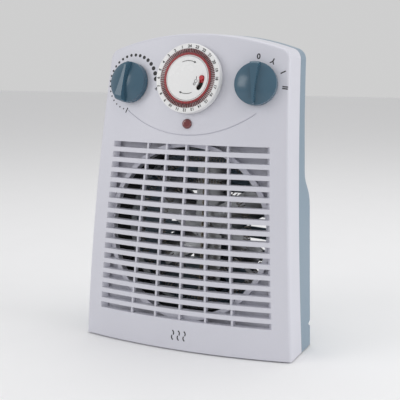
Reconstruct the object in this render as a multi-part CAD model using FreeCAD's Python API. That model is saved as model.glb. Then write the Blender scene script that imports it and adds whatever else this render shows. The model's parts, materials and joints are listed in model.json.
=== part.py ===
import FreeCAD, Part
import math
import os
from FreeCAD import Placement, Rotation, Vector

# Upright fan heater with a segment timer. Millimetres and degrees.
# Working frame: X to the right, Y from the front to the back, Z up, Y = 0 at the foot of the front.
# The finished parts are moved so that the origin is the middle of the footprint.

# Casing
HEIGHT = 320.0
HALF_BASE = 116.9
SIDE_DRAFT = 0.058
LEAN = 0.0222
LEAN_GROWTH = 3.302e-4
PLAN_RADIUS = 520.0
ARCH_RADIUS = 290.0
TOP_CORNER_RADIUS = 12.0
WALL = 2.5
FOOT_GAP = 1.5
FRONT_EDGE_RADIUS = 3.0
BACK_EDGE_RADIUS = 5.0
SEAM_BACK = 33.0
SEAM_GAP = 0.6
SEAM_DEPTH = 0.9
SLAB_DEPTH = 53.0
SLAB_BULGE = 8.0
HUMP_SWELL = 17.0
HUMP_TAPER = 3.3e-4
HUMP_SHOULDER = 150.0
HUMP_TOP = 181.0
HUMP_BULGE = 26.0
DOME_SHOULDER = 180.0
DOME_TOP = 240.0
DEPTH = 126.0
GROOVE_Z = 24.0
GROOVE_HALF = 5.0
GROOVE_DEPTH = 9.0

# Grille
GRILLE_BOTTOM = 35.5
GRILLE_TOP_DROP = 113.0
ROW_PITCH = 10.71
SLOT_HEIGHT = 6.0
GRILLE_THICK = 7.0
BAR_RECESS = 1.5
BAR_WIDTH = 2.0
BAR_SPREAD = 29.7
BAR_TAPER = 0.0362
SLOT_MARGIN = 22.7
SLOT_RAMP = 5.5

# Air path
OUTLET_Z = 122.5
OUTLET_RADIUS = 86.0
COLLAR_THICK = 5.0
PLATE_Y = 19.5
PLATE_THICK = 2.5
DUCT_WALL = 2.0
DUCT_END = 64.0
INTAKE_PITCH = 8.0
INTAKE_HEIGHT = 3.6

# Heating element
ELEMENT_Y = 56.0
BOARD_WIDTH = 12.0
BOARD_THICK = 0.8
OUTER_COIL_RADIUS = 75.0
INNER_COIL_RADIUS = 50.0
COIL_TUBE_RADIUS = 4.0

# Fan and motor
FAN_RADIUS = 66.0
FAN_Y = 68.0
FAN_WIDTH = 15.0
HUB_RADIUS = 15.0
BLADES = 6
BLADE_PITCH = 26.0
BLADE_CAMBER = 4.0
BLADE_THICK = 1.6
BRACKET_Y = 86.0
POST_RADIUS = 3.0
POST_CIRCLE = 71.5
STACK = 14.0
ROTOR_RADIUS = 14.0
AIR_GAP = 0.4
SHAFT_RADIUS = 2.5
RUNNING = 0.05
BEARING_RADIUS = 4.5
STATOR_Y = BRACKET_Y + 2
REAR_Y = STATOR_Y + STACK

# Controls
PANEL_LINE_RADIUS = 122.5
PANEL_LINE_DROP = 100.7
PANEL_LINE_WIDTH = 1.0
PANEL_LINE_REACH = 71.0
DIAL_DROP = 45.6
DIAL_RADIUS = 35.0
DIAL_PROUD = 8.0
DIAL_BORE = 22.4
SLEEVE_RADIUS = 24.0
TAPPETS = 96
TAPPET_IN = 23.5
TAPPET_OUT = 29.6
TAPPET_WIDTH = 0.7
TRACK_DEPTH = 0.8
KNOB_X = 69.7
KNOB_DROP = 50.0
KNOB_RADIUS = 21.0
KNOB_HEIGHT = 18.0
KNOB_DOME = 14.0
KNOB_DOME_RADIUS = 40.0
SPINDLE_RADIUS = 3.0
BUSH_RADIUS = 5.0
CONTROL_SEAT = 3.2
NUT_RADIUS = 7.5
NUT_THICK = 2.2
SLIDER_CIRCLE = 16.0
SLIDER_START = 89.0
SLIDER_SWEEP = 36.0
SLIDER_SLOT = 5.5
SLIDER_RADIUS = 2.3
LAMP_DROP = 89.5
LAMP_RADIUS = 5.0
GAP = 0.4

# Fixings
SCREW_RADIUS = 1.6
HEAD_RADIUS = 3.2
BOSS_RADIUS = 5.0
GLAND_Z = 44.0
CORD_HOLE = 3.6
GLAND_RADIUS = 6.5

GRILLE_TOP = HEIGHT - GRILLE_TOP_DROP
ROWS = int((GRILLE_TOP - GRILLE_BOTTOM) / ROW_PITCH) + 1
REACH = 400.0


def disc(radius, y0, y1, x=0.0, z=0.0):
    """A cylinder along Y."""
    return Part.makeCylinder(radius, y1 - y0, Vector(x, y0, z), Vector(0, 1, 0))


def ring(outer, inner, y0, y1, x=0.0, z=0.0):
    """A tube along Y."""
    return disc(outer, y0, y1, x, z).cut(disc(inner, y0 - 1, y1 + 1, x, z))


def block(x0, x1, y0, y1, z0, z1):
    """A box between two corners."""
    return Part.makeBox(x1 - x0, y1 - y0, z1 - z0, Vector(x0, y0, z0))


def fuse(shapes):
    """One solid from several."""
    return shapes[0].multiFuse(shapes[1:]).removeSplitter() if len(shapes) > 1 else shapes[0]


def put(shape, frame):
    """A copy of the shape, moved from a local frame into the working frame."""
    moved = shape.copy()
    moved.Placement = frame.multiply(moved.Placement)
    return moved


def turned(shape, angle):
    """A copy turned clockwise, as seen from the front, about the local Y axis."""
    return put(shape, Placement(Vector(), Rotation(Vector(0, 1, 0), angle)))


def face_y(x, z):
    """The front surface: how far back it lies at a place."""
    return LEAN * z + LEAN_GROWTH * z ** 2 + x ** 2 / (2 * PLAN_RADIUS)


def half_width(z):
    """Half the width between the drafted sides."""
    return HALF_BASE - SIDE_DRAFT * z


def ease(z, start, end):
    """A smooth step: 0 at start and 1 at end."""
    t = min(max((z - start) / (end - start), 0.0), 1.0)
    return t * t * (3 - 2 * t)


def corner_y(z):
    """The rear corner of the sides: a thin slab above, swollen into a hump below."""
    slab = face_y(half_width(z), z) + SLAB_DEPTH
    swell = HUMP_SWELL - HUMP_TAPER * (HUMP_SHOULDER - z) ** 2
    return slab + swell * ease(z, HUMP_TOP, HUMP_SHOULDER)


def back_y(x, z):
    """The back surface: an arc in plan that domes out over the fan."""
    bulge = SLAB_BULGE + HUMP_BULGE * ease(z, DOME_TOP, DOME_SHOULDER)
    return corner_y(z) + bulge * (1 - (x / half_width(z)) ** 2)


def seam_y(z):
    """The seam between the two casings."""
    return face_y(half_width(z), z) + SEAM_BACK


def frame_at(x, z):
    """A local frame on the front surface: its Y axis is the inward normal."""
    tilt = math.degrees(math.atan(LEAN + 2 * LEAN_GROWTH * z))
    yaw = math.degrees(math.atan(x / PLAN_RADIUS))
    turn = Rotation(Vector(0, 0, 1), yaw).multiply(Rotation(Vector(1, 0, 0), -tilt))
    return Placement(Vector(x, face_y(x, z), z), turn)


OUTLET = frame_at(0, OUTLET_Z)
DIAL = frame_at(0, HEIGHT - DIAL_DROP)
LAMP = frame_at(0, HEIGHT - LAMP_DROP)
THERMOSTAT = frame_at(-KNOB_X, HEIGHT - KNOB_DROP)
FUNCTION = frame_at(KNOB_X, HEIGHT - KNOB_DROP)


def arc(points):
    return Part.Arc(*points).toShape()


def surface(depth_at, outward):
    """Everything on one side of a curved surface, given by its depth over X and Z."""
    edge = HALF_BASE + 8
    across = [edge * (i / 4 - 1) for i in range(9)]
    up = [-20 + (HEIGHT + 40) * i / 24 for i in range(25)]
    sheet = Part.BSplineSurface()
    sheet.interpolate([[Vector(x, depth_at(x, z), z) for z in up] for x in across])
    return sheet.toShape().extrude(Vector(0, outward * REACH, 0))


def outline(inset):
    """The front-view outline as a prism: drafted sides, round top corners, shallow arch."""
    floor = FOOT_GAP + inset
    arch = ARCH_RADIUS - inset
    centre = HEIGHT - ARCH_RADIUS
    radius = TOP_CORNER_RADIUS - inset
    normal = Vector(1, 0, SIDE_DRAFT).normalize()
    cz = HEIGHT - 2 * TOP_CORNER_RADIUS
    for _ in range(8):
        cx = HALF_BASE - inset - SIDE_DRAFT * cz - radius / normal.x
        cz = centre + math.sqrt((arch - radius) ** 2 - cx ** 2)
    corner = Vector(cx, 0, cz)
    up = Vector(cx, 0, cz - centre).normalize()
    low = corner + normal * radius
    mid = corner + (normal + up).normalize() * radius
    high = corner + up * radius
    foot = Vector(HALF_BASE - inset - SIDE_DRAFT * floor, 0, floor)
    flip = [Vector(-p.x, 0, p.z) for p in (foot, low, mid, high)]
    edges = [
        Part.makeLine(foot, low),
        arc((low, mid, high)),
        arc((high, Vector(0, 0, HEIGHT - inset), flip[3])),
        arc((flip[3], flip[2], flip[1])),
        Part.makeLine(flip[1], flip[0]),
        Part.makeLine(flip[0], foot),
    ]
    prism = Part.Face(Part.Wire(edges)).extrude(Vector(0, REACH, 0))
    prism.translate(Vector(0, -REACH / 4, 0))
    return prism


def body(inset):
    """The casing's outer shape as a solid, or the same shape a little smaller."""
    ahead = surface(lambda x, z: face_y(x, z) + inset, -1)
    behind = surface(lambda x, z: back_y(x, z) - inset, 1)
    return outline(inset).cut([ahead, behind]).Solids[0]


def rounded(shape):
    """The body with its front and back rims rounded."""
    for radius, wanted in ((FRONT_EDGE_RADIUS, True), (BACK_EDGE_RADIUS, False)):
        rim = []
        for edge in shape.Edges:
            points = [v.Point for v in edge.Vertexes]
            points.append(edge.valueAt(sum(edge.ParameterRange) / 2))
            at_floor = sum(p.z < FOOT_GAP + 4 for p in points) > 1
            ahead = [p.y < seam_y(p.z) for p in points]
            if not at_floor and all(side == wanted for side in ahead):
                rim.append(edge)
        shape = shape.makeFillet(radius, rim)
    return shape


def front_zone(shift):
    """Everything ahead of the seam."""
    top = HEIGHT + 20
    heights = [-20 + (top + 20) * i / 5 for i in range(6)]
    curve = Part.BSplineCurve()
    curve.interpolate([Vector(-REACH / 2, seam_y(z) + shift, z) for z in heights])
    low = Vector(-REACH / 2, -REACH / 2, -20)
    high = Vector(-REACH / 2, -REACH / 2, top)
    edges = [curve.toShape(), Part.makeLine(curve.EndPoint, high)]
    edges += [Part.makeLine(high, low), Part.makeLine(low, curve.StartPoint)]
    return Part.Face(Part.Wire(edges)).extrude(Vector(REACH, 0, 0))


def groove(grow):
    """The V-shaped cord groove around the hump, or the same made deeper by a wall."""
    wires = []
    for z, depth in (
        (GROOVE_Z - GROOVE_HALF - grow, grow - 1),
        (GROOVE_Z, grow + GROOVE_DEPTH),
        (GROOVE_Z + GROOVE_HALF + grow, grow - 1),
    ):
        edge = HALF_BASE + 12
        near = [Vector(x, back_y(x, z) - depth, z) for x in (-edge, 0, edge)]
        far = [Vector(edge, REACH / 2, z), Vector(-edge, REACH / 2, z)]
        lines = [Part.makeLine(near[2], far[0]), Part.makeLine(*far), Part.makeLine(far[1], near[0])]
        wires.append(Part.Wire([arc(near)] + lines))
    return Part.makeLoft(wires, True, True)


def boss_places():
    """Where the casing screws stand: X, Z."""
    upper = HEIGHT - 80
    return [(s * (half_width(z) - 15), z) for s in (-1, 1) for z in (GRILLE_BOTTOM + 7, upper)]


def joint_y(z):
    """Where the front and rear screw bosses meet."""
    return seam_y(z) + 6


def row_heights():
    return [GRILLE_TOP - i * ROW_PITCH for i in range(ROWS)]


def slot(z, x0, x1, low_ramp, high_ramp):
    """One grille slot, with a ramp where it ends beside the frame."""
    end = half_width(z) - SLOT_MARGIN
    y_end = face_y(end, z) + GRILLE_THICK
    y0 = face_y(0, z) - 6
    y1 = y_end + 3
    ramp = SLOT_RAMP / GRILLE_THICK
    shift0 = ramp * (y_end - y0)
    shift1 = ramp * (y_end - y1)
    left = (x0 - low_ramp * shift0, x0 - low_ramp * shift1)
    right = (x1 + high_ramp * shift0, x1 + high_ramp * shift1)
    plan = [(left[0], y0), (right[0], y0), (right[1], y1), (left[1], y1)]
    base = z - SLOT_HEIGHT / 2
    points = [Vector(x, y, base) for x, y in plan]
    return Part.Face(Part.makePolygon(points + points[:1])).extrude(Vector(0, 0, SLOT_HEIGHT))


def grille_cuts(skin):
    """Slots through the grille; the upright bars stay a little behind the level ones."""
    through = []
    rows = []
    for z in row_heights():
        end = half_width(z) - SLOT_MARGIN
        pitch = BAR_SPREAD - BAR_TAPER * z
        edges = [-end, -2 * pitch, -pitch, 0, pitch, 2 * pitch, end]
        for i in range(6):
            x0 = edges[i] + (BAR_WIDTH / 2 if i > 0 else 0)
            x1 = edges[i + 1] - (BAR_WIDTH / 2 if i < 5 else 0)
            through.append(slot(z, x0, x1, 1 if i == 0 else 0, 1 if i == 5 else 0))
        rows.append(slot(z, -end, end, 1, 1))
    shallow = Part.makeCompound(rows).cut(skin)
    return through, shallow


def panel_line(skin):
    """A fine arc cut under the controls."""
    centre = HEIGHT - PANEL_LINE_DROP + PANEL_LINE_RADIUS
    half = PANEL_LINE_WIDTH / 2
    band = ring(PANEL_LINE_RADIUS + half, PANEL_LINE_RADIUS - half, -20, 80, 0, centre)
    reach = block(-PANEL_LINE_REACH, PANEL_LINE_REACH, -20, 80, 0, centre)
    return band.common(reach).cut(skin)


def duct_boss_places():
    """Outlet plate screws in the outlet frame: X, Z."""
    return [(x, z) for x in (-60.0, 60.0) for z in (-94.5, 92.0)]


def control_holes():
    """Openings in the panel for the controls."""
    holes = [put(disc(SLEEVE_RADIUS + GAP, -10, 10), DIAL)]
    holes += [put(disc(BUSH_RADIUS + 0.1, -10, 10), f) for f in (THERMOSTAT, FUNCTION)]
    holes.append(put(disc(LAMP_RADIUS + 0.05, -10, 10), LAMP))
    return holes


def foot_places():
    """Rubber feet: X, Y."""
    front = SEAM_BACK - 3
    rear = corner_y(0) + 10
    return [(s * x, y) for s in (-1, 1) for x, y in ((HALF_BASE - 27, front), (HALF_BASE - 57, rear))]


def foot_holes():
    return [Part.makeCylinder(3.0, 12, Vector(x, y, -2)) for x, y in foot_places()]


def timer_ears():
    return [(-37.5, 0.0), (37.5, 0.0)]


def make_casings():
    """Front and rear casings, split from one shell along the seam."""
    outer = rounded(body(0))
    groove_cut = groove(0)
    cavity = body(WALL).cut(groove(WALL))
    shell = outer.cut(groove_cut).cut(cavity)
    skin = body(SEAM_DEPTH)
    slit = front_zone(SEAM_GAP / 2).cut(front_zone(-SEAM_GAP / 2)).cut(skin)
    ahead = front_zone(0)
    solid = body(0.5)
    front = shell.common(ahead).cut(slit)
    rear = shell.cut(ahead).cut(slit)

    pad_half = half_width(GRILLE_BOTTOM) - SLOT_MARGIN + SLOT_RAMP + 2
    pad_zone = block(-pad_half, pad_half, -20, 60, GRILLE_BOTTOM - 7, GRILLE_TOP + 7)
    pad = body(0.2).common(pad_zone).common(front_zone(-2)).cut(body(GRILLE_THICK))
    front_bosses = [disc(BOSS_RADIUS, 0, joint_y(z), x, z).common(solid) for x, z in boss_places()]
    for x, z in duct_boss_places():
        front_bosses.append(put(disc(3.5, -4, PLATE_Y, x, z), OUTLET).common(solid))
    for x, z in timer_ears():
        front_bosses.append(put(disc(3.5, 0, 8, x, z), DIAL).common(solid))
    front = fuse([front, pad] + front_bosses)
    through, shallow = grille_cuts(body(BAR_RECESS))
    cuts = through + control_holes() + foot_holes() + [shallow, panel_line(skin)]
    cuts += [disc(SCREW_RADIUS, joint_y(z) - 14, joint_y(z) + 1, x, z) for x, z in boss_places()]
    cuts += [put(disc(SCREW_RADIUS, PLATE_Y - 9, PLATE_Y + 1, x, z), OUTLET) for x, z in duct_boss_places()]
    cuts += [put(disc(SCREW_RADIUS, 4, 9, x, z), DIAL) for x, z in timer_ears()]
    front = front.cut(cuts)

    rear_bosses = [disc(BOSS_RADIUS, joint_y(z), REACH / 2, x, z).common(solid) for x, z in boss_places()]
    rear = fuse([rear] + rear_bosses)
    cuts = foot_holes() + intake_slots() + [make_gland()]
    for x, z in boss_places():
        cuts.append(disc(SCREW_RADIUS + 0.2, joint_y(z) - 1, REACH / 2, x, z))
        cuts.append(disc(HEAD_RADIUS + 0.4, joint_y(z) + 4, REACH / 2, x, z))
    return front, rear.cut(cuts)


def intake_slots():
    """Level air slots in the hump, in three columns."""
    slots = []
    count = int((HUMP_TOP - 20 - GLAND_Z - 16) / INTAKE_PITCH)
    for i in range(count):
        z = GLAND_Z + 20 + i * INTAKE_PITCH
        for x0, x1 in ((-62, -22), (-20, 20), (22, 62)):
            slots.append(block(x0, x1, DEPTH - 32, DEPTH + 5, z, z + INTAKE_HEIGHT))
    return slots


def make_outlet_plate():
    """White plate behind the grille, with a collar around the round outlet."""
    plate = block(-130, 130, PLATE_Y, PLATE_Y + PLATE_THICK, -98, 97)
    collar = disc(OUTLET_RADIUS + COLLAR_THICK, 0, PLATE_Y + PLATE_THICK)
    placed = put(fuse([plate, collar]), OUTLET).common(body(GRILLE_THICK + 0.4))
    cuts = [put(disc(OUTLET_RADIUS, -30, 60), OUTLET)]
    cuts += [put(disc(SCREW_RADIUS, 0, 60, x, z), OUTLET) for x, z in duct_boss_places()]
    cuts += [disc(BOSS_RADIUS + GAP, -20, 90, x, z) for x, z in boss_places()]
    return placed.cut(cuts)


def make_air_duct():
    """Dark round duct behind the plate, with a flange."""
    y0 = PLATE_Y + PLATE_THICK
    outer = OUTLET_RADIUS + DUCT_WALL
    tube = ring(outer, OUTLET_RADIUS, y0, DUCT_END)
    flange = ring(outer + 4, OUTLET_RADIUS, y0, y0 + 2)
    return put(fuse([tube, flange]), OUTLET)


def make_element_ring():
    """Steel band that holds the boards in the duct."""
    half = BOARD_WIDTH / 2
    return put(ring(OUTLET_RADIUS, OUTLET_RADIUS - 1, ELEMENT_Y - half, ELEMENT_Y + half), OUTLET)


def make_coil(radius):
    """The outer shape of a coiled resistance wire bent into a circle."""
    torus = Part.makeTorus(radius, COIL_TUBE_RADIUS, Vector(0, ELEMENT_Y, 0), Vector(0, 1, 0))
    return put(torus, OUTLET)


def make_board(upright):
    """One mica board of the cross, half-lapped and drilled for the coils."""
    reach = OUTLET_RADIUS - 1
    half = BOARD_WIDTH / 2
    t = BOARD_THICK / 2
    board = block(-t, t, ELEMENT_Y - half, ELEMENT_Y + half, -reach, reach)
    lap = block(-t, t, ELEMENT_Y, ELEMENT_Y + half + 1, -t, t)
    if not upright:
        board = turned(board, 90)
        lap = block(-t, t, ELEMENT_Y - half - 1, ELEMENT_Y, -t, t)
    coils = [make_coil(OUTER_COIL_RADIUS), make_coil(INNER_COIL_RADIUS)]
    return put(board.cut(lap), OUTLET).cut(coils)


def make_cutout():
    """Disc-shaped thermal cut-out beside the upright board."""
    z = -(OUTER_COIL_RADIUS + INNER_COIL_RADIUS) / 2
    x = BOARD_THICK / 2
    can = Part.makeCylinder(6.5, 6, Vector(x, ELEMENT_Y, z), Vector(1, 0, 0))
    tabs = [block(x + 2, x + 3, ELEMENT_Y + s * 8 - 3, ELEMENT_Y + s * 8 + 3, z - 3, z + 3) for s in (-1, 1)]
    return put(fuse([can] + tabs), OUTLET)


def make_fuse():
    """Thermal fuse on the other side of the board."""
    z = -(OUTER_COIL_RADIUS + INNER_COIL_RADIUS) / 2
    body_part = Part.makeCylinder(2.0, 11, Vector(-BOARD_THICK / 2 - 2, ELEMENT_Y, z - 5.5))
    lead = Part.makeCylinder(0.5, 15, Vector(-BOARD_THICK / 2 - 2, ELEMENT_Y, z - 7.5))
    return put(fuse([body_part, lead]), OUTLET)


def blade_section():
    """A curved blade section, standing at its pitch."""
    chord = FAN_WIDTH / math.sin(math.radians(BLADE_PITCH))
    outer = [Vector(-chord / 2, 0, 0), Vector(0, -BLADE_CAMBER, 0), Vector(chord / 2, 0, 0)]
    tip = chord / 2 - 0.2
    middle = Vector(0, BLADE_THICK - BLADE_CAMBER, 0)
    inner = [Vector(tip, BLADE_THICK, 0), middle, Vector(-tip, BLADE_THICK, 0)]
    sides = [Part.makeLine(outer[2], inner[0]), Part.makeLine(inner[2], outer[0])]
    face = Part.Face(Part.Wire([arc(outer), sides[0], arc(inner), sides[1]]))
    face.rotate(Vector(), Vector(0, 0, 1), BLADE_PITCH)
    return face


def make_impeller():
    """Axial fan: a hub and curved blades, trimmed to a cylinder."""
    middle = FAN_Y + FAN_WIDTH / 2
    blade = blade_section().extrude(Vector(0, 0, FAN_RADIUS))
    blade.translate(Vector(0, middle, HUB_RADIUS / 2))
    blades = [turned(blade, 360 / BLADES * i) for i in range(BLADES)]
    hub = disc(HUB_RADIUS, FAN_Y, FAN_Y + FAN_WIDTH)
    fan = fuse([hub] + blades).common(disc(FAN_RADIUS, FAN_Y, FAN_Y + FAN_WIDTH))
    return put(fan.cut(disc(SHAFT_RADIUS, FAN_Y - 1, FAN_Y + FAN_WIDTH + 1)), OUTLET)


def stator_z():
    """Lower and upper ends of the motor's lamination stack."""
    return -36.0, 22.0


def motor_screw_places():
    return [(-20.0, 17.0), (20.0, 17.0), (-20.0, -17.0), (20.0, -17.0)]


def make_front_bracket():
    """Cross that carries the motor from posts on the duct's rim."""
    arms = [turned(block(-5, 5, BRACKET_Y, BRACKET_Y + 2, -POST_CIRCLE, POST_CIRCLE), a) for a in (45, 135)]
    places = [(POST_CIRCLE * math.sin(math.radians(a)), POST_CIRCLE * math.cos(math.radians(a)))
              for a in (45, 135, 225, 315)]
    posts = [disc(POST_RADIUS, DUCT_END, BRACKET_Y + 2, x, z) for x, z in places]
    lugs = []
    for angle in (45, 135, 225, 315):
        lug = block(-4, 4, DUCT_END, DUCT_END + 2, POST_CIRCLE - 3, OUTLET_RADIUS + DUCT_WALL)
        lugs.append(turned(lug, angle))
    plate = block(-26, 26, BRACKET_Y, BRACKET_Y + 2, -23, 23)
    hub = disc(7, BRACKET_Y - 2, BRACKET_Y + 3)
    bracket = fuse(arms + posts + lugs + [plate, hub])
    cuts = [disc(BEARING_RADIUS, 0, 200)] + [disc(SCREW_RADIUS, 0, 200, x, z) for x, z in motor_screw_places()]
    return put(bracket.cut(cuts), OUTLET)


def make_stator():
    """Shaded-pole lamination stack with a window for the coil."""
    low, high = stator_z()
    frame = block(-25, 25, STATOR_Y, REAR_Y, low, high)
    window = block(-17, 17, STATOR_Y - 1, REAR_Y + 1, low + 8, -20)
    leg = block(-5, 5, STATOR_Y, REAR_Y, low, -16)
    bore = disc(ROTOR_RADIUS + AIR_GAP, STATOR_Y - 1, REAR_Y + 1)
    screws = [disc(SCREW_RADIUS, STATOR_Y - 1, REAR_Y + 1, x, z) for x, z in motor_screw_places()]
    return put(fuse([frame.cut(window), leg]).cut([bore, front_recess()] + screws), OUTLET)


def front_recess():
    """Room in the stack for the bracket's hub."""
    return disc(7.5, STATOR_Y - 1, STATOR_Y + 1.5)


def make_motor_coil():
    """Copper winding around the stator's middle leg."""
    low, _ = stator_z()
    winding = block(-16, 16, STATOR_Y, REAR_Y + 4, low + 8.5, -20.5)
    core = block(-5, 5, STATOR_Y - 1, REAR_Y, low, 0)
    return put(winding.cut(core), OUTLET)


def make_rear_bracket():
    """Plate behind the stack, with the rear bearing."""
    plate = block(-25, 25, REAR_Y, REAR_Y + 2, -19.5, 21)
    hub = disc(7, REAR_Y, REAR_Y + 4)
    cuts = [disc(BEARING_RADIUS, 0, 200)] + [disc(SCREW_RADIUS, 0, 200, x, z) for x, z in motor_screw_places()]
    return put(fuse([plate, hub]).cut(cuts), OUTLET)


def make_bearing(y0, y1):
    return put(ring(BEARING_RADIUS, SHAFT_RADIUS + RUNNING, y0, y1), OUTLET)


def make_motor_screws():
    """Long screws through both brackets and the stack."""
    screws = []
    for x, z in motor_screw_places():
        shank = disc(SCREW_RADIUS, BRACKET_Y, REAR_Y + 2, x, z)
        screws.append(put(fuse([shank, disc(HEAD_RADIUS, REAR_Y + 2, REAR_Y + 3.6, x, z)]), OUTLET))
    return Part.makeCompound(screws)


def make_rotor():
    rotor = disc(ROTOR_RADIUS, STATOR_Y + 2.2, REAR_Y - 1).cut(disc(SHAFT_RADIUS, 0, 200))
    return put(rotor, OUTLET)


def make_shaft():
    return put(disc(SHAFT_RADIUS, FAN_Y - 4, REAR_Y + 5), OUTLET)


def make_fan_clip():
    return put(ring(6, SHAFT_RADIUS, FAN_Y - 1.5, FAN_Y), OUTLET)


def arc_slot(width, radius, start, sweep, y0, y1):
    """A curved slot about the dial's axis, between two clock angles, with round ends."""
    band = ring(radius + width / 2, radius - width / 2, y0, y1)
    wedge_points = [Vector(0, y0, 0)]
    for i in range(5):
        a = math.radians(start + sweep * i / 4)
        wedge_points.append(Vector(60 * math.sin(a), y0, 60 * math.cos(a)))
    wedge = Part.Face(Part.makePolygon(wedge_points + wedge_points[:1])).extrude(Vector(0, y1 - y0, 0))
    ends = []
    for a in (start, start + sweep):
        x = radius * math.sin(math.radians(a))
        z = radius * math.cos(math.radians(a))
        ends.append(disc(width / 2, y0, y1, x, z))
    return fuse([band.common(wedge)] + ends)


def make_dial():
    """Timer ring: it turns once a day and carries the tappets in a groove."""
    rim = ring(DIAL_RADIUS, DIAL_BORE, -DIAL_PROUD, -0.6)
    edges = [e for e in rim.Edges if len(e.Vertexes) == 1 and e.BoundBox.YMax < -DIAL_PROUD + 0.1
             and e.BoundBox.XLength > 2 * DIAL_RADIUS - 1]
    rim = rim.makeFillet(1.2, edges)
    sleeve = ring(SLEEVE_RADIUS, DIAL_BORE, -0.7, 10)
    track = ring(TAPPET_OUT + 0.3, TAPPET_IN - 0.3, -DIAL_PROUD - 1, -DIAL_PROUD + TRACK_DEPTH)
    return put(fuse([rim, sleeve]).cut(track), DIAL)


def make_tappets():
    """Quarter-hour tappets standing in the dial's groove."""
    half = TAPPET_WIDTH / 2
    tappet = block(-half, half, -DIAL_PROUD - 0.6, -DIAL_PROUD + TRACK_DEPTH, TAPPET_IN, TAPPET_OUT)
    return Part.makeCompound([put(turned(tappet, 360 / TAPPETS * i), DIAL) for i in range(TAPPETS)])


def make_timer_face():
    """Fixed centre disc on a post, with the slot for the mode slider."""
    plate = disc(DIAL_BORE - GAP, -DIAL_PROUD - 0.2, -DIAL_PROUD + 2)
    post = disc(6, -DIAL_PROUD + 1, 12)
    cut = arc_slot(SLIDER_SLOT, SLIDER_CIRCLE, SLIDER_START, SLIDER_SWEEP, -20, -DIAL_PROUD + 3)
    return put(fuse([plate, post]).cut(cut), DIAL)


def make_slider():
    """Mode slider: a small red button on a plate under the centre disc."""
    x = SLIDER_CIRCLE * math.sin(math.radians(SLIDER_START))
    z = SLIDER_CIRCLE * math.cos(math.radians(SLIDER_START))
    button = disc(SLIDER_RADIUS, -DIAL_PROUD - 1.8, -DIAL_PROUD + 3.5, x, z)
    plate = block(10.5, 20.5, -DIAL_PROUD + 2.4, -DIAL_PROUD + 3.6, -4, 4)
    return put(fuse([button, plate]), DIAL)


def make_timer_housing():
    """Timer movement in its case, with two screw ears."""
    case = disc(31, 3.8, 32)
    ears = block(-41, 41, 8, 10.5, -5, 5)
    cuts = [disc(SLEEVE_RADIUS + GAP, 0, 12)] + [disc(SCREW_RADIUS, 0, 20, x, z) for x, z in timer_ears()]
    return put(fuse([case, ears]).cut(cuts), DIAL)


def make_timer_motor():
    """Synchronous motor on the back of the timer."""
    return put(fuse([disc(20, 32, 44), disc(4, 44, 46)]), DIAL)


def screw_group(places, frame, tip, seat):
    """Identical screws whose heads lie behind a seat."""
    screws = []
    for x, z in places:
        shank = disc(SCREW_RADIUS, tip, seat, x, z)
        screws.append(put(fuse([shank, disc(HEAD_RADIUS, seat, seat + 2, x, z)]), frame))
    return Part.makeCompound(screws)


def make_casing_screws():
    screws = []
    for x, z in boss_places():
        seat = joint_y(z) + 4
        shank = disc(SCREW_RADIUS, seat - 14, seat, x, z)
        head = disc(HEAD_RADIUS, seat, seat + 2.2, x, z)
        screws.append(fuse([shank, head]))
    return Part.makeCompound(screws)


def grip_plan():
    """The grip seen from the front: broad at its pointing end and narrow at the other."""
    right = [Vector(5.2, 0, 22), Vector(2.5, 0, 2), Vector(0.9, 0, -22)]
    left = [Vector(-p.x, 0, p.z) for p in reversed(right)]
    ends = [Part.makeLine(right[2], left[0]), Part.makeLine(left[2], right[0])]
    return Part.Face(Part.Wire([arc(right), ends[0], arc(left), ends[1]]))


def make_knob(frame, angle):
    """Domed knob with a raised tapering grip, hollow underneath."""
    ball = Part.makeSphere(KNOB_DOME_RADIUS, Vector(0, KNOB_DOME_RADIUS - KNOB_DOME, 0))
    dome = disc(KNOB_RADIUS, -KNOB_DOME - 1, -0.9).common(ball)
    crown = disc(KNOB_RADIUS - 0.5, -KNOB_HEIGHT, -4)
    rim = [e for e in crown.Edges if len(e.Vertexes) == 1 and e.BoundBox.YMax < -KNOB_HEIGHT + 0.1]
    grip = grip_plan().extrude(Vector(0, -KNOB_HEIGHT - 5, 0)).common(crown.makeFillet(5.0, rim))
    hollow = ring(KNOB_RADIUS - 3, SPINDLE_RADIUS + 2.6, -6, 0)
    cuts = [hollow, disc(SPINDLE_RADIUS + 2.7, -4, 0), disc(SPINDLE_RADIUS, -11, 1)]
    return put(turned(fuse([dome, grip]).cut(cuts), angle), frame)


def make_spindle(frame):
    return put(disc(SPINDLE_RADIUS, -11, 14), frame)


def make_control_body(frame, half, depth):
    """A rotary control behind the panel, with a threaded bush through it."""
    back = CONTROL_SEAT + depth
    case = block(-half, half, CONTROL_SEAT, back, -half, half)
    tabs = [block(x - 2, x + 2, back, back + 6, -0.5, 0.5) for x in (-half / 2, half / 2)]
    bush = disc(BUSH_RADIUS, -2.2, 4)
    bore = disc(SPINDLE_RADIUS + RUNNING, -5, 14.3)
    return put(fuse([case, bush] + tabs).cut(bore), frame)


def make_nut(frame):
    """Hexagon nut on the bush, under the knob."""
    top = -NUT_THICK - GAP
    corners = [math.pi / 3 * i for i in range(7)]
    points = [Vector(NUT_RADIUS * math.cos(a), top, NUT_RADIUS * math.sin(a)) for a in corners]
    nut = Part.Face(Part.makePolygon(points)).extrude(Vector(0, NUT_THICK, 0))
    return put(nut.cut(disc(BUSH_RADIUS, -5, 5)), frame)


def make_lens():
    """Domed lamp lens with a stem through the panel."""
    lens = disc(LAMP_RADIUS, -3.2, 9)
    rim = [e for e in lens.Edges if len(e.Vertexes) == 1 and e.BoundBox.YMax < 0]
    return put(lens.makeFillet(2.6, rim).cut(disc(3.4, 1, 10)), LAMP)


def make_lamp_clip():
    return put(ring(7.5, LAMP_RADIUS, 3.0, 4.6), LAMP)


def make_neon():
    """Small neon tube standing in the lens."""
    return put(fuse([disc(2.8, 3, 14), disc(3.4, 8.9, 13)]), LAMP)


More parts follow.
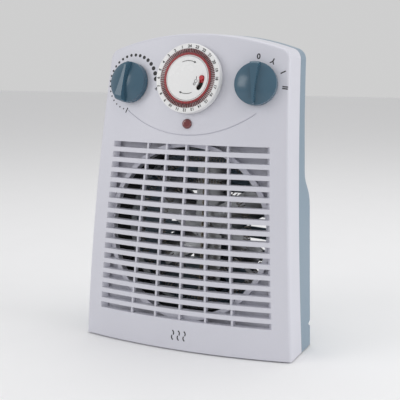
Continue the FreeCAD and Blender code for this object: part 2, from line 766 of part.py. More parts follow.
def make_feet():
    """Rubber feet with stems pushed through the floor of the casing."""
    feet = []
    for x, y in foot_places():
        pad = Part.makeCylinder(8, FOOT_GAP, Vector(x, y, 0))
        stem = Part.makeCylinder(3.0, WALL + 2, Vector(x, y, FOOT_GAP))
        cap = Part.makeCylinder(4.2, 1, Vector(x, y, FOOT_GAP + WALL))
        feet.append(fuse([pad, stem, cap]))
    return Part.makeCompound(feet)


def gland_face():
    """Where the gland's flange starts, clear outside the back."""
    return back_y(0, GLAND_Z)


def make_gland():
    """Round gland for the cord, seated in the back."""
    y = gland_face()
    barrel = disc(GLAND_RADIUS, y - 12, y + 1, 0, GLAND_Z)
    flange = disc(GLAND_RADIUS + 2.5, y - 0.6, y + 3, 0, GLAND_Z)
    return fuse([barrel, flange])


def terminal_block_place():
    return -72.0, SEAM_BACK + 30, FOOT_GAP + WALL


def make_terminal_block():
    """Terminal block for the mains wires on the rear casing's floor."""
    x, y, z = terminal_block_place()
    holes = [Part.makeCylinder(2.0, 12, Vector(x + 5 + 10 * i, y + 8, z + 7)) for i in range(3)]
    return block(x, x + 30, y, y + 16, z, z + 13).cut(holes)


def make_terminal_screws():
    x, y, z = terminal_block_place()
    return Part.makeCompound([Part.makeCylinder(2.0, 3, Vector(x + 5 + 10 * i, y + 8, z + 7)) for i in range(3)])


def make_parts():
    """Every part by name, in the working frame."""
    front, rear = make_casings()
    duct = duct_boss_places()
    return {
        "front_casing": front,
        "rear_casing": rear,
        "casing_screws": make_casing_screws(),
        "rubber_feet": make_feet(),
        "outlet_plate": make_outlet_plate(),
        "outlet_plate_screws": screw_group(duct, OUTLET, PLATE_Y - 8, PLATE_Y + PLATE_THICK),
        "air_duct": make_air_duct(),
        "element_ring": make_element_ring(),
        "mica_board_upright": make_board(True),
        "mica_board_level": make_board(False),
        "outer_heating_coil": make_coil(OUTER_COIL_RADIUS),
        "inner_heating_coil": make_coil(INNER_COIL_RADIUS),
        "thermal_cutout": make_cutout(),
        "thermal_fuse": make_fuse(),
        "fan_impeller": make_impeller(),
        "fan_clip": make_fan_clip(),
        "motor_shaft": make_shaft(),
        "motor_rotor": make_rotor(),
        "motor_stator": make_stator(),
        "motor_winding": make_motor_coil(),
        "front_motor_bracket": make_front_bracket(),
        "rear_motor_bracket": make_rear_bracket(),
        "front_bearing": make_bearing(BRACKET_Y - 2, BRACKET_Y + 3),
        "rear_bearing": make_bearing(REAR_Y, REAR_Y + 4),
        "motor_screws": make_motor_screws(),
        "timer_housing": make_timer_housing(),
        "timer_screws": screw_group(timer_ears(), DIAL, 4, 10.5),
        "timer_motor": make_timer_motor(),
        "timer_dial": make_dial(),
        "timer_tappets": make_tappets(),
        "timer_face": make_timer_face(),
        "mode_slider": make_slider(),
        "thermostat_body": make_control_body(THERMOSTAT, 14, 14),
        "thermostat_spindle": make_spindle(THERMOSTAT),
        "thermostat_nut": make_nut(THERMOSTAT),
        "thermostat_knob": make_knob(THERMOSTAT, 190),
        "function_switch_body": make_control_body(FUNCTION, 12, 18),
        "function_spindle": make_spindle(FUNCTION),
        "function_nut": make_nut(FUNCTION),
        "function_knob": make_knob(FUNCTION, 0),
        "pilot_lens": make_lens(),
        "pilot_neon": make_neon(),
        "pilot_clip": make_lamp_clip(),
        "terminal_block": make_terminal_block(),
        "terminal_screws": make_terminal_screws(),
        "cord_gland": make_gland().cut(disc(CORD_HOLE, 0, REACH, 0, GLAND_Z)),
    }


def main():
    """Write one file per part, with the origin under the middle of the heater."""
    os.makedirs("parts", exist_ok=True)
    centred = Placement(Vector(0, -DEPTH / 2, 0), Rotation())
    for name, shape in make_parts().items():
        solids = [put(s, centred) for s in shape.Solids]
        result = solids[0] if len(solids) == 1 else Part.makeCompound(solids)
        box = result.BoundBox
        state = "valid" if result.isValid() else "INVALID"
        extent = [round(v, 2) for v in (box.YMin, box.YMax, box.ZMin, box.ZMax, box.XMax)]
        print(name, len(solids), "solids", round(result.Volume), "mm3", state, extent)
        result.exportStep("parts/" + name + ".step")
    for name, frame in (("dial", DIAL), ("thermostat", THERMOSTAT), ("function", FUNCTION), ("outlet", OUTLET)):
        place = centred.multiply(frame)
        axis = frame.Rotation.multVec(Vector(0, 1, 0))
        print("joint", name, [round(v / 1000, 6) for v in place.Base], [round(v, 6) for v in axis])
    print("gland", round((gland_face() - DEPTH / 2) / 1000, 6), "feet", foot_places())


main()
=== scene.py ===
import json
import math

import bpy
from bpy.props import FloatProperty, FloatVectorProperty, PointerProperty
from mathutils import Matrix, Vector


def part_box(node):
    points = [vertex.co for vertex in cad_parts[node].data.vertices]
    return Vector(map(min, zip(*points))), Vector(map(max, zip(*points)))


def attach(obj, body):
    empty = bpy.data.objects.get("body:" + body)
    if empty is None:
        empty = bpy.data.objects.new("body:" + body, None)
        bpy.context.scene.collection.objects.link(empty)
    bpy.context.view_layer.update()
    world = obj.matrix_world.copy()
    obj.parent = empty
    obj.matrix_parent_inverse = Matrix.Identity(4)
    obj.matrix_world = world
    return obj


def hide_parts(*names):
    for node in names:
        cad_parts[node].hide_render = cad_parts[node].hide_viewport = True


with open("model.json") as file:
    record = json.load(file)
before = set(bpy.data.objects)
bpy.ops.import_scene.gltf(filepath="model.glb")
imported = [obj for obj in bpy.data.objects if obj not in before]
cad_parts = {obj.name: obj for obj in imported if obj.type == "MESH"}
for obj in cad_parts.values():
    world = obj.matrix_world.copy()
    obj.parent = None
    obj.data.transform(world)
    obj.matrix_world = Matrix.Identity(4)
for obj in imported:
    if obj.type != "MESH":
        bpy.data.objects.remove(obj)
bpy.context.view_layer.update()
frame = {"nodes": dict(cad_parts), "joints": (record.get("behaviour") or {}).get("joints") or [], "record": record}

bl_info = {
    "name": "Fan heater with segment timer",
    "version": (1, 0, 0),
    "blender": (4, 5, 0),
    "location": "3D View > Sidebar > Heater",
    "description": "Finishes, printed marks and wire coils for an upright fan heater",
    "category": "Object",
}

MM = 0.001
HOURS = 24
HOURS_RADIUS = 31.9 * MM
RED_RING_RADIUS = 24.5 * MM
RED_RING_WIDTH = 2.2 * MM
RED_RING_THICK = 0.5 * MM
LABEL_RADIUS = 10.2 * MM

# Thermostat scale: clock angles in degrees, and how fast the dots grow.
SCALE_DOTS = 23
SCALE_RADIUS = 28.0 * MM
SCALE_DRIFT = 2.0 * MM
SCALE_START = 195
SCALE_SWEEP = 246
DOT_GROWTH = 1.6
FUNCTION_RADIUS = 27.5 * MM

# Size of the soft clouds in a finish, and the wave texture's period at a scale of 1.
CLOUD_SIZE = 0.06
WAVE_PERIOD = 0.314

LENS_MM = 76.7
SURROUND_STRENGTH = 0.62
ACROSS_TO_FRONT = Matrix.Rotation(math.radians(90), 4, "X")


def linear(hexed):
    """A linear colour from an sRGB hex value."""
    channels = [int(hexed[i:i + 2], 16) / 255 for i in (1, 3, 5)]
    return tuple(c / 12.92 if c <= 0.04045 else ((c + 0.055) / 1.055) ** 2.4
                 for c in channels)


def length(name, description, default):
    return FloatProperty(name=name, description=description, default=default, unit="LENGTH", min=0.0)


def colour(name, description, hexed):
    return FloatVectorProperty(name=name, description=description, default=linear(hexed),
                               subtype="COLOR", min=0.0, max=1.0)


class HeaterSizes(bpy.types.PropertyGroup):
    """Sizes of the printed marks and of the wire."""

    wire: length("Wire", "Radius of the resistance wire", 0.5 * MM)
    wire_pitch: length("Wire pitch", "Spacing of the coil's turns", 3.4 * MM)
    ink: length("Ink", "Thickness of the printed marks", 0.12 * MM)
    numeral: length("Numeral", "Height of the hour numerals", 4.0 * MM)
    symbol: length("Symbol", "Height of the function marks", 7.5 * MM)
    stroke: length("Stroke", "Width of the printed lines", 0.55 * MM)
    smallest_dot: length("Smallest dot", "Radius of the scale's first dot", 0.8 * MM)
    largest_dot: length("Largest dot", "Radius of the scale's last dot", 2.4 * MM)


class HeaterColours(bpy.types.PropertyGroup):
    """Colours of the finishes."""

    front: colour("Front", "Front casing and grille", "#D6D6DF")
    rear: colour("Rear", "Rear casing", "#8296A6")
    knobs: colour("Knobs", "Both knobs", "#3F5F72")
    dial: colour("Dial", "Timer dial and its face", "#ECECEC")
    tappets: colour("Tappets", "Tappets and mode slider", "#B8232E")
    ink: colour("Ink", "Printed marks", "#17171A")
    lens: colour("Lens", "Pilot lamp lens", "#6E0A14")


# Materials: each is named for what it is made of and how it was made.

def add(tree, kind, inputs=None, **settings):
    """Adds a node with its settings; an input given a socket is linked to it."""
    made = tree.nodes.new(kind)
    for key, value in settings.items():
        setattr(made, key, value)
    for socket, value in (inputs or {}).items():
        if isinstance(value, bpy.types.NodeSocket):
            tree.links.new(value, made.inputs[socket])
        else:
            made.inputs[socket].default_value = value
    return made


def shade(rgb, factor):
    return tuple(min(c * factor, 1.0) for c in rgb[:3]) + (1.0,)


def finish_of(name, rgb, pattern, depth, spread, rough, uniform):
    """A material whose colour, roughness and relief follow a pattern built in its tree."""
    material = bpy.data.materials.new(name)
    material.use_nodes = True
    tree = material.node_tree
    tree.nodes.clear()
    where = add(tree, "ShaderNodeTexCoord").outputs["Object"]
    fine = pattern(tree, where)
    cloud = {"Vector": where, "Scale": 1 / CLOUD_SIZE, "Detail": 4.0}
    clouds = add(tree, "ShaderNodeTexNoise", cloud).outputs["Fac"]
    blend = add(tree, "ShaderNodeMath", {0: fine, 1: clouds}, operation="MULTIPLY")
    span = {"Value": blend.outputs[0], "From Min": 0.1, "From Max": 0.5}
    tone = add(tree, "ShaderNodeMapRange", span)
    base = add(tree, "ShaderNodeMix", {0: tone.outputs["Result"], 6: shade(rgb, 1 - spread),
                                       7: shade(rgb, 1 + spread / 2)}, data_type="RGBA")
    gloss = add(tree, "ShaderNodeMapRange", {"Value": clouds, "From Min": 0.3, "From Max": 0.7,
                                             "To Min": rough - 0.05, "To Max": rough + 0.05})
    relief = add(tree, "ShaderNodeBump", {"Height": fine, "Distance": depth, "Strength": 0.6})
    inputs = {"Base Color": base.outputs[2], "Roughness": gloss.outputs["Result"],
              "Normal": relief.outputs["Normal"]}
    inputs.update(uniform)
    shader = add(tree, "ShaderNodeBsdfPrincipled", inputs)
    add(tree, "ShaderNodeOutputMaterial", {"Surface": shader.outputs[0]})
    return material


def grains(size):
    """A fine even grain of a given size."""
    def pattern(tree, where):
        noise = {"Vector": where, "Scale": 1 / size, "Detail": 2.0, "Roughness": 0.6}
        return add(tree, "ShaderNodeTexNoise", noise).outputs["Fac"]
    return pattern


def flakes(size):
    """Flat flakes with edges."""
    def pattern(tree, where):
        cell = {"Vector": where, "Scale": 1 / size}
        return add(tree, "ShaderNodeTexVoronoi", cell, feature="F1").outputs["Distance"]
    return pattern


def lines(spacing, direction, stray):
    """Parallel lines at a spacing, a little uneven."""
    def pattern(tree, where):
        wave = {"Vector": where, "Scale": WAVE_PERIOD / spacing,
                "Distortion": stray, "Detail": 2.0}
        return add(tree, "ShaderNodeTexWave", wave, bands_direction=direction).outputs["Fac"]
    return pattern


def moulded_abs(colour_of, name):
    """ABS from a spark-eroded mould: satin, with a fine texture drawn coarse enough to show."""
    return finish_of(name, colour_of, grains(0.7 * MM), 0.03 * MM, 0.03, 0.38, {"IOR": 1.54})


def polished_abs(colour_of, name):
    """ABS from a polished mould: smoother and brighter than the casings."""
    return finish_of(name, colour_of, grains(1.2 * MM), 0.01 * MM, 0.03, 0.24, {"IOR": 1.54})


def near_black_duct():
    """Steel sheet coloured near-black: dull, with a slight orange-peel bump."""
    return finish_of("near_black_duct_steel", linear("#24262A"), grains(1.5 * MM),
                     0.05 * MM, 0.15, 0.62, {"IOR": 1.5})


def zinc_sheet():
    """Zinc-plated sheet: spangled grey with soft streaks."""
    return finish_of("zinc_plated_steel", linear("#A9ABAF"), flakes(3 * MM),
                     0.02 * MM, 0.15, 0.36, {"Metallic": 1.0})


def turned_steel():
    """Bright turned steel: fine rings of tool marks along the part."""
    return finish_of("bright_turned_steel", linear("#BDBEC2"), lines(0.5 * MM, "Y", 0.4),
                     0.01 * MM, 0.1, 0.28, {"Metallic": 1.0})


def resistance_wire():
    """Oxidised nickel-chrome wire: pale grey-brown and dull, mottled by heat."""
    return finish_of("oxidised_nickel_chrome_wire", linear("#C9C1B8"), grains(5 * MM),
                     0.02 * MM, 0.3, 0.42, {"Metallic": 1.0})


def pressed_mica():
    """Pressed mica board: pale brown flakes with a slight pearl."""
    return finish_of("pressed_mica_board", linear("#B5A88F"), flakes(1.6 * MM),
                     0.03 * MM, 0.2, 0.5, {"IOR": 1.58, "Sheen Weight": 0.15})


def laminations():
    """Stacked steel laminations: dark, with a line at each sheet's edge."""
    return finish_of("stacked_steel_laminations", linear("#6C6D72"), lines(1.0 * MM, "Y", 0.1),
                     0.08 * MM, 0.35, 0.45, {"Metallic": 1.0})


def enamelled_copper():
    """Wound enamelled copper: red-brown turns side by side."""
    return finish_of("enamelled_copper_winding", linear("#B4623A"), lines(0.8 * MM, "Y", 0.2),
                     0.15 * MM, 0.3, 0.3, {"Metallic": 1.0, "Coat Weight": 0.6})


def sintered_bronze():
    """Sintered bronze: brown-yellow with open pores."""
    return finish_of("sintered_bronze", linear("#B08A4E"), grains(0.5 * MM),
                     0.04 * MM, 0.2, 0.42, {"Metallic": 1.0})


def rolled_aluminium():
    """Pressed aluminium sheet: bright grey with rolling marks across it."""
    return finish_of("rolled_aluminium_sheet", linear("#C3C5C8"), lines(0.7 * MM, "X", 1.2),
                     0.02 * MM, 0.12, 0.34, {"Metallic": 1.0})


def moulded_rubber():
    """Moulded rubber: black, dull and slightly dusty."""
    return finish_of("moulded_black_rubber", linear("#1C1C1E"), grains(0.9 * MM),
                     0.06 * MM, 0.3, 0.78, {"IOR": 1.52})


def moulded_nylon(name, hexed):
    """Moulded nylon: slightly waxy, a little uneven."""
    return finish_of(name, linear(hexed), grains(1.0 * MM),
                     0.03 * MM, 0.06, 0.45, {"IOR": 1.53, "Subsurface Weight": 0.05, "Subsurface Scale": 0.002})


def clear_lens(rgb):
    """Dyed polycarbonate: deep red with a hard bright surface."""
    return finish_of("dyed_polycarbonate_lens", rgb, grains(2 * MM),
                     0.01 * MM, 0.1, 0.1, {"IOR": 1.58, "Transmission Weight": 0.05, "Coat Weight": 1.0})


def neon_glass():
    """Drawn lamp glass: clear, with an amber tint from the electrodes."""
    return finish_of("drawn_lamp_glass", linear("#D89A6A"), grains(2 * MM),
                     0.01 * MM, 0.1, 0.08, {"IOR": 1.5, "Transmission Weight": 0.6})


def pad_printed(rgb, name):
    """Pad-printed ink: a thin opaque film with soft edges and a slight sheen."""
    return finish_of(name, rgb, grains(0.4 * MM), 0.005 * MM, 0.08, 0.48, {"IOR": 1.5})


# Helpers for modelling

def alone():
    """Leaves edit mode with nothing selected."""
    if bpy.context.object and bpy.context.object.mode == "EDIT":
        bpy.ops.object.mode_set(mode="OBJECT")
    bpy.ops.object.select_all(action="DESELECT")


def select(objects):
    alone()
    for item in objects:
        item.select_set(True)
    bpy.context.view_layer.objects.active = objects[0]


def settle(item, matrix):
    """Moves an object and puts its place in its mesh."""
    select([item])
    item.matrix_world = matrix
    bpy.ops.object.transform_apply(location=True, rotation=True, scale=True)


def finish_piece(name, objects, material, body):
    """Joins objects into one named piece that rides on a body."""
    select(objects)
    if len(objects) > 1:
        bpy.ops.object.join()
    piece = bpy.context.object
    piece.name = name
    piece.data.name = name
    piece.data.materials.clear()
    piece.data.materials.append(material)
    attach(piece, body)
    return piece


def joint_frame(name):
    """A joint's frame: X across, Y along its axis into the heater, Z up the panel."""
    joint = next(j for j in frame["joints"] if j["name"] == name)
    inward = Vector(joint["axis"]).normalized()
    across = Vector((inward.y, -inward.x, 0)).normalized()
    return basis(across, inward, Vector(joint["pos_m"]))


def basis(across, inward, place):
    up = across.cross(inward)
    return Matrix.Translation(place) @ Matrix((across, inward, up)).transposed().to_4x4()


def on_panel(place):
    """A frame on the front casing, straight behind a place."""
    casing = frame["nodes"]["front_casing"]
    start = Vector((place.x, -1, place.z))
    found, spot, normal, _ = casing.ray_cast(start, Vector((0, 1, 0)))
    if not found:
        raise RuntimeError("no panel behind a printed mark")
    inward = -normal
    across = Vector((inward.y, -inward.x, 0)).normalized()
    return basis(across, inward, spot)


def clock(radius, angle):
    """A place at a clock angle, seen from the front."""
    turn = math.radians(angle)
    return Vector((radius * math.sin(turn), 0, radius * math.cos(turn)))


def thicken(item, thickness):
    """Gives a flat mark the thickness of ink and clean outward faces."""
    select([item])
    modifier = item.modifiers.new("ink", "SOLIDIFY")
    modifier.thickness = thickness
    modifier.offset = 1.0
    bpy.ops.object.modifier_apply(modifier=modifier.name)
    outward(item)


def outward(item):
    select([item])
    bpy.ops.object.mode_set(mode="EDIT")
    bpy.ops.mesh.select_all(action="SELECT")
    bpy.ops.mesh.remove_doubles(threshold=1e-6)
    bpy.ops.mesh.normals_make_consistent(inside=False)
    bpy.ops.object.mode_set(mode="OBJECT")


def lettering(body, height, ink):
    """Plain lettering as a thin mesh in the XY plane."""
    alone()
    bpy.ops.object.text_add()
    item = bpy.context.object
    item.data.body = body
    item.data.size = height
    item.data.resolution_u = 3
    item.data.align_x = "CENTER"
    item.data.align_y = "CENTER"
    item.data.offset = height * 0.03
    item.data.extrude = ink / 2
    bpy.ops.object.convert(target="MESH")
    item = bpy.context.object
    outward(item)
    return item


def flat_arc(radius, width, start, sweep, ink):
    """A printed arc in the XY plane, spun from one short edge."""
    alone()
    bpy.ops.mesh.primitive_plane_add(size=width, location=(0, radius, 0))
    item = bpy.context.object
    bpy.ops.object.transform_apply(location=True)
    bpy.ops.object.mode_set(mode="EDIT")
    bpy.ops.mesh.select_all(action="DESELECT")
    bpy.ops.object.mode_set(mode="OBJECT")
    for vertex in item.data.vertices:
        vertex.select = vertex.co.x > 0
    bpy.ops.object.mode_set(mode="EDIT")
    bpy.ops.mesh.delete(type="VERT")
    bpy.ops.mesh.select_all(action="SELECT")
    steps = max(6, int(abs(sweep) / 6))
    bpy.ops.mesh.spin(steps=steps, angle=math.radians(sweep), center=(0, 0, 0), axis=(0, 0, 1))
    bpy.ops.object.mode_set(mode="OBJECT")
    settle(item, Matrix.Rotation(math.radians(-start), 4, "Z"))
    thicken(item, ink)
    return item


def flat_dot(radius, ink):
    """A printed dot: a thin disc with a softened edge."""
    alone()
    bpy.ops.mesh.primitive_cylinder_add(vertices=24, radius=radius, depth=ink)
    item = bpy.context.object
    bpy.ops.object.mode_set(mode="EDIT")
    bpy.ops.mesh.select_all(action="SELECT")
    bpy.ops.mesh.bevel(offset=ink * 0.3, segments=1, affect="EDGES")
    bpy.ops.object.mode_set(mode="OBJECT")
    return item


def flat_head(size, ink):
    """An arrow head pointing along +X."""
    alone()
    bpy.ops.mesh.primitive_cylinder_add(vertices=3, radius=size, depth=ink)
    item = bpy.context.object
    bpy.ops.object.mode_set(mode="EDIT")
    bpy.ops.mesh.select_all(action="SELECT")
    bpy.ops.mesh.bevel(offset=ink * 0.3, segments=1, affect="EDGES")
    bpy.ops.object.mode_set(mode="OBJECT")
    settle(item, Matrix.Rotation(math.radians(-90), 4, "Z"))
    return item


def print_on_face(item, face, radius, angle, height, upright):
    """Puts a flat mark on a turned face at a clock angle, upright or pointing outwards."""
    turn = 0 if upright else math.radians(angle)
    spot = clock(radius, angle) + Vector((0, height, 0))
    settle(item, face @ Matrix.Translation(spot) @ Matrix.Rotation(turn, 4, "Y") @ ACROSS_TO_FRONT)


def print_on_panel(item, face, radius, angle, turn=0.0):
    """Puts a flat mark on the casing at a clock angle about a control."""
    panel = on_panel(face @ clock(radius, angle))
    settle(item, panel @ Matrix.Rotation(math.radians(turn), 4, "Y") @ ACROSS_TO_FRONT)


def top_of(node, face):
    """How far a node stands in front of a joint's frame: its lowest local Y."""
    inverse = face.inverted()
    return min((inverse @ v.co).y for v in frame["nodes"][node].data.vertices)


class PieceOperator:
    """What the operators share."""

    bl_options = {"REGISTER", "UNDO"}

    @staticmethod
    def sizes():
        return bpy.context.scene.heater_sizes

    @staticmethod
    def colours():
        return bpy.context.scene.heater_colours


class HEATER_OT_finishes(PieceOperator, bpy.types.Operator):
    """Gives every part of the frame its material"""

    bl_idname = "heater.finishes"
    bl_label = "Finishes"

    def execute(self, context):
        tint = self.colours()
        steel, zinc, rubber = turned_steel(), zinc_sheet(), moulded_rubber()
        by_slot = {
            "white_plastic": moulded_abs(tint.front, "satin_white_abs"),
            "blue_plastic": moulded_abs(tint.rear, "satin_blue_grey_abs"),
            "knob_plastic": polished_abs(tint.knobs, "polished_blue_grey_abs"),
            "dial_plastic": polished_abs(tint.dial, "polished_white_abs"),
            "red_plastic": polished_abs(tint.tappets, "polished_red_abs"),
            "dark_duct": near_black_duct(),
            "bright_steel": steel,
            "zinc_steel": zinc,
            "black_rubber": rubber,
            "mica": pressed_mica(),
            "resistance_wire": resistance_wire(),
            "fan_aluminium": rolled_aluminium(),
            "lamination_steel": laminations(),
            "copper_wire": enamelled_copper(),
            "bronze": sintered_bronze(),
            "timer_plastic": moulded_nylon("moulded_grey_nylon", "#C9C8C2"),
            "terminal_plastic": moulded_nylon("moulded_white_nylon", "#DEDDD6"),
            "lamp_lens": clear_lens(tint.lens),
            "neon_glass": neon_glass(),
        }
        for part in frame["record"]["subparts"]:
            for slot in frame["nodes"][part["node"]].material_slots:
                slot.material = by_slot[part["material_slot"]]
        for slot in frame["nodes"]["timer_tappets"].material_slots:
            slot.material = polished_abs(linear("#6A2028"), "polished_maroon_abs")
        return {"FINISHED"}


class HEATER_OT_coils(PieceOperator, bpy.types.Operator):
    """Winds the two rings of resistance wire"""

    bl_idname = "heater.coils"
    bl_label = "Heating coils"

    def execute(self, context):
        for node in ("outer_heating_coil", "inner_heating_coil"):
            self.wind(node)
        return {"FINISHED"}

    def wind(self, node):
        """A helix of wire bent round a ring that fills the node's solid."""
        size = self.sizes()
        face = joint_frame("fan_spin")
        inverse = face.inverted()
        points = [inverse @ v.co for v in frame["nodes"][node].data.vertices]
        outer = max(math.hypot(p.x, p.z) for p in points)
        inner = min(math.hypot(p.x, p.z) for p in points)
        depth = (max(p.y for p in points) + min(p.y for p in points)) / 2
        radius = (outer + inner) / 2
        coil = (outer - inner) / 2 - size.wire
        turns = int(2 * math.pi * radius / size.wire_pitch)
        steps = 12 * turns
        alone()
        bpy.ops.curve.primitive_nurbs_path_add()
        item = bpy.context.object
        item.data.splines.clear()
        spline = item.data.splines.new("POLY")
        spline.points.add(steps - 1)
        for i, point in enumerate(spline.points):
            around = 2 * math.pi * i / steps
            twist = around * turns
            reach = radius + coil * math.cos(twist)
            across = reach * math.cos(around)
            up = reach * math.sin(around)
            place = Vector((across, depth + coil * math.sin(twist), up))
            point.co = (face @ place).to_4d()
        spline.use_cyclic_u = True
        item.data.dimensions = "3D"
        item.data.bevel_depth = size.wire
        item.data.bevel_resolution = 1
        bpy.ops.object.convert(target="MESH")
        item = bpy.context.object
        bpy.ops.object.shade_smooth()
        settle(item, item.matrix_world.copy())
        piece = finish_piece(node + "_wire", [item], resistance_wire(), "casing")
        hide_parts(node)


class HEATER_OT_dial_marks(PieceOperator, bpy.types.Operator):
    """Prints the hours on the timer dial and the arrows on its face"""

    bl_idname = "heater.dial_marks"
    bl_label = "Dial marks"

    def execute(self, context):
        size = self.sizes()
        ink = pad_printed(self.colours().ink, "pad_printed_black_on_dial")
        face = joint_frame("timer_dial_turn")
        rim = top_of("timer_dial", face)
        items = []
        for hour in range(HOURS):
            angle = 360 / HOURS * hour
            item = lettering(str(HOURS - hour), size.numeral, size.ink)
            print_on_face(item, face, HOURS_RADIUS, angle, rim - size.ink / 2, False)
            items.append(item)
        finish_piece("dial_hours", items, ink, "timer_dial")
        band = flat_arc(RED_RING_RADIUS, RED_RING_WIDTH, 0, 360, RED_RING_THICK)
        print_on_face(band, face, 0, 0, rim + 0.2 * MM, True)
        red = polished_abs(linear("#C22E34"), "polished_bright_red_abs")
        finish_piece("dial_red_ring", [band], red, "timer_dial")
        self.face_marks(face, ink)
        return {"FINISHED"}

    def face_marks(self, face, ink):
        """Two curved arrows and the labels of the mode slider."""
        size = self.sizes()
        top = top_of("timer_face", face)
        items = []
        for start, radius in ((-22, 17.4 * MM), (158, 15.6 * MM)):
            item = flat_arc(radius, size.stroke, start, 44, size.ink)
            print_on_face(item, face, 0, 0, top, True)
            head = flat_head(1.5 * MM, size.ink)
            print_on_face(head, face, radius, start + 46, top - size.ink / 2, False)
            items += [item, head]
        for label, angle in (("I", 88), ("O", 126)):
            item = lettering(label, 3.4 * MM, size.ink)
            print_on_face(item, face, LABEL_RADIUS, angle, top - size.ink / 2, True)
            items.append(item)
        ring = flat_arc(1.5 * MM, 0.4 * MM, 0, 360, size.ink)
        print_on_face(ring, face, 0, 0, top, True)
        ring_place = face @ clock(LABEL_RADIUS, 107) - face @ Vector((0, 0, 0))
        settle(ring, Matrix.Translation(ring_place))
        items.append(ring)
        finish_piece("dial_face_marks", items, ink, "casing")


class HEATER_OT_panel_marks(PieceOperator, bpy.types.Operator):
    """Prints the thermostat scale, the function marks and a plain mark of rising heat"""

    bl_idname = "heater.panel_marks"
    bl_label = "Panel marks"

    def execute(self, context):
        ink = pad_printed(self.colours().ink, "pad_printed_black_on_panel")
        finish_piece("thermostat_scale", self.scale(), ink, "casing")
        finish_piece("function_marks", self.functions(), ink, "casing")
        finish_piece("heat_mark", self.waves(), ink, "casing")
        return {"FINISHED"}

    def scale(self):
        """Dots that grow clockwise round the thermostat knob."""
        size = self.sizes()
        face = joint_frame("thermostat_turn")
        growth = size.largest_dot - size.smallest_dot
        items = []
        for i in range(SCALE_DOTS):
            share = i / (SCALE_DOTS - 1)
            dot = flat_dot(size.smallest_dot + share ** DOT_GROWTH * growth, size.ink)
            reach = SCALE_RADIUS + SCALE_DRIFT * share
            print_on_panel(dot, face, reach, SCALE_START + SCALE_SWEEP * share)
            items.append(dot)
        plus = lettering("+", 6.5 * MM, size.ink)
        print_on_panel(plus, face, 32 * MM, 100.6)
        tick = lettering("I", size.symbol, size.ink)
        print_on_panel(tick, face, 29 * MM, 186, 24)
        return items + [plus, tick]

    def functions(self):
        """Off, fan, low and high round the function knob."""
        size = self.sizes()
        face = joint_frame("function_turn")
        items = []
        for label, angle, turn in (("0", 0, 0), ("Y", 32, 205), ("I", 64, 64), ("II", 96, 96)):
            item = lettering(label, size.symbol, size.ink)
            print_on_panel(item, face, FUNCTION_RADIUS, angle, turn)
            items.append(item)
        return items

    def waves(self):
        """Three wavy lines near the foot."""
        size = self.sizes()
        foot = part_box("front_casing")[0][2] + 15 * MM
        items = []
        bend = 3.0 * MM
        for column in (-1, 0, 1):
            for start, side, rise in ((40, -1, 0.5), (220, 1, -0.5)):
                item = flat_arc(bend, 2.2 * size.stroke, start, 100, size.ink)
                shift = Vector((side * bend * 0.62, 0, rise * bend * 1.53))
                panel = on_panel(Vector((column * 6.5 * MM, 0, foot)))
                settle(item, panel @ Matrix.Translation(shift) @ ACROSS_TO_FRONT)
                items.append(item)
        return items


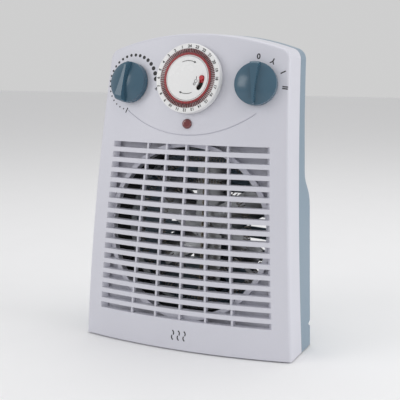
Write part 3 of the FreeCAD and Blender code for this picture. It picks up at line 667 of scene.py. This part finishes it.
class HEATER_OT_stage(PieceOperator, bpy.types.Operator):
    """Sets the floor, the soft lights and the camera"""

    bl_idname = "heater.stage"
    bl_label = "Stage"

    def execute(self, context):
        alone()
        bpy.ops.mesh.primitive_plane_add(size=12)
        floor = bpy.context.object
        floor.name = "studio_floor"
        paper = finish_of("matt_white_paper", linear("#F4F4F5"), grains(3 * MM),
                          0.02 * MM, 0.01, 0.85, {})
        floor.data.materials.append(paper)
        self.light("side_softbox", (1.7, 0.1, 0.9), 1.2, 10)
        self.light("front_softbox", (-1.4, -1.5, 1.0), 1.0, 8)
        self.light("top_softbox", (0.0, 0.3, 1.7), 1.2, 6)
        context.scene.view_settings.view_transform = "Standard"
        self.backdrop(context.scene)
        self.camera(context.scene)
        return {"FINISHED"}

    def light(self, name, place, size, power):
        """A square softbox that faces the heater."""
        alone()
        bpy.ops.object.light_add(type="AREA", location=place)
        lamp = bpy.context.object
        lamp.name = name
        lamp.data.size = size
        lamp.data.energy = power
        toward = Vector((0, 0, 0.15)) - Vector(place)
        lamp.rotation_euler = toward.to_track_quat("-Z", "Y").to_euler()

    def backdrop(self, scene):
        """An even white surround."""
        world = bpy.data.worlds.new("white_surround")
        world.use_nodes = True
        surround = world.node_tree.nodes["Background"]
        surround.inputs["Color"].default_value = (1, 1, 1, 1)
        surround.inputs["Strength"].default_value = SURROUND_STRENGTH
        scene.world = world

    def camera(self, scene):
        """A long lens a little to the right of the heater and slightly above it."""
        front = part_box("front_casing")[0][1]
        place = Vector((0.3702, front - 0.7478, 0.2934))
        target = Vector((0.0246, front, 0.1583))
        alone()
        bpy.ops.object.camera_add(location=place)
        camera = bpy.context.object
        camera.name = "main_camera"
        camera.data.lens = LENS_MM
        camera.data.sensor_width = 36
        camera.rotation_euler = (target - place).to_track_quat("-Z", "Y").to_euler()
        scene.camera = camera


class HEATER_PT_panel(bpy.types.Panel):
    """The heater's sizes, colours and operators"""

    bl_label = "Fan heater"
    bl_idname = "HEATER_PT_panel"
    bl_space_type = "VIEW_3D"
    bl_region_type = "UI"
    bl_category = "Heater"

    def draw(self, context):
        for group in (context.scene.heater_sizes, context.scene.heater_colours):
            box = self.layout.box()
            for name in group.__annotations__:
                box.prop(group, name)
        for operator in OPERATORS:
            self.layout.operator(operator.bl_idname)


OPERATORS = (
    HEATER_OT_stage,
    HEATER_OT_finishes,
    HEATER_OT_coils,
    HEATER_OT_dial_marks,
    HEATER_OT_panel_marks,
)
CLASSES = (HeaterSizes, HeaterColours) + OPERATORS + (HEATER_PT_panel,)


def register():
    for item in CLASSES:
        bpy.utils.register_class(item)
    bpy.types.Scene.heater_sizes = PointerProperty(type=HeaterSizes)
    bpy.types.Scene.heater_colours = PointerProperty(type=HeaterColours)


def unregister():
    del bpy.types.Scene.heater_colours
    del bpy.types.Scene.heater_sizes
    for item in reversed(CLASSES):
        bpy.utils.unregister_class(item)


def main():
    """Builds the heater's looks around the frame."""
    register()
    bpy.ops.heater.stage()
    bpy.ops.heater.finishes()
    bpy.ops.heater.coils()
    bpy.ops.heater.dial_marks()
    bpy.ops.heater.panel_marks()


if __name__ == "__main__":
    main()
